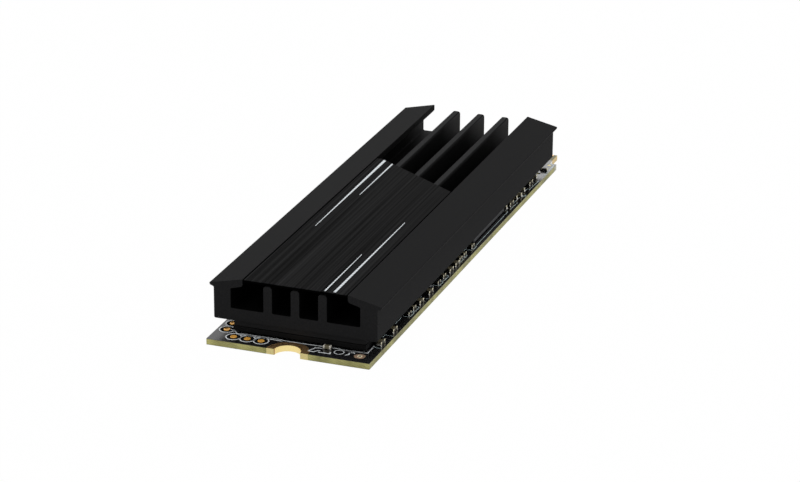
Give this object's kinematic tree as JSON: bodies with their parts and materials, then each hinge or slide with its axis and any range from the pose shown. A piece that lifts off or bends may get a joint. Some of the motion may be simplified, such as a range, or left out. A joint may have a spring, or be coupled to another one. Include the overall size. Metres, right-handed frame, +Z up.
{
  "type": "solid state drive",
  "caption": "Gumstick solid state drive: a thin board with edge connector and screw notch under a long black finned heatsink with a slant-cut cover plate.",
  "frame": {"origin": "middle of the board's underside, halfway along its length and width", "axes": "+Y along the board to the edge connector, +Z up through the heatsink, +X across"},
  "size_m": [0.0232, 0.08, 0.0084],
  "materials": {
    "adhesive": "black adhesive film",
    "laminate": "glass fibre laminate, olive at its cut edges",
    "package": "moulded black epoxy",
    "capacitor": "brown ceramic between tinned ends",
    "controller": "moulded dark grey package",
    "cover": "black, brushed lengthwise",
    "plated_can": "plated metal can",
    "gold_plating": "gold plated copper",
    "bare_copper": "finished copper, dull brown",
    "heatsink": "black anodised, fine grain",
    "inductor": "moulded iron powder",
    "resistor": "black film between tinned ends",
    "solder_mask": "black solder mask, satin",
    "white_print": "white print",
    "thermal_pad": "soft grey-black pad"
  },
  "bodies": {
    "root": {"adhesive_strip_centre": "adhesive", "adhesive_strip_left": "adhesive", "adhesive_strip_right": "adhesive", "board_laminate": "laminate", "cache_package": "package", "capacitor_end_1": "capacitor", "capacitor_end_2": "capacitor", "capacitor_end_3": "capacitor", "capacitor_end_4": "capacitor", "capacitor_end_5": "capacitor", "capacitor_end_6": "capacitor", "capacitor_end_7": "capacitor", "capacitor_front": "capacitor", "capacitor_left_1": "capacitor", "capacitor_left_2": "capacitor", "capacitor_side_1": "capacitor", "capacitor_side_10": "capacitor", "capacitor_side_11": "capacitor", "capacitor_side_2": "capacitor", "capacitor_side_3": "capacitor", "capacitor_side_4": "capacitor", "capacitor_side_5": "capacitor", "capacitor_side_6": "capacitor", "capacitor_side_7": "capacitor", "capacitor_side_8": "capacitor", "capacitor_side_9": "capacitor", "controller_package": "controller", "cover_plate": "cover", "crystal_can": "plated_can", "edge_pad": "gold_plating", "flash_package_1": "package", "flash_package_2": "package", "ground_pad": "bare_copper", "heatsink_body": "heatsink", "inductor_1": "inductor", "inductor_2": "inductor", "inductor_3": "inductor", "notch_plating": "gold_plating", "power_chip": "package", "resistor_end_1": "resistor", "resistor_side_1": "resistor", "resistor_side_2": "resistor", "solder_mask_top": "solder_mask", "stripe_1": "white_print", "stripe_2": "white_print", "stripe_3": "white_print", "stripe_4": "white_print", "test_pad_1": "gold_plating", "test_pad_2": "gold_plating", "test_pad_3": "gold_plating", "test_pad_4": "gold_plating", "test_pad_5": "gold_plating", "thermal_pad_controller": "thermal_pad", "thermal_pad_memory": "thermal_pad"}
  },
  "joints": []
}
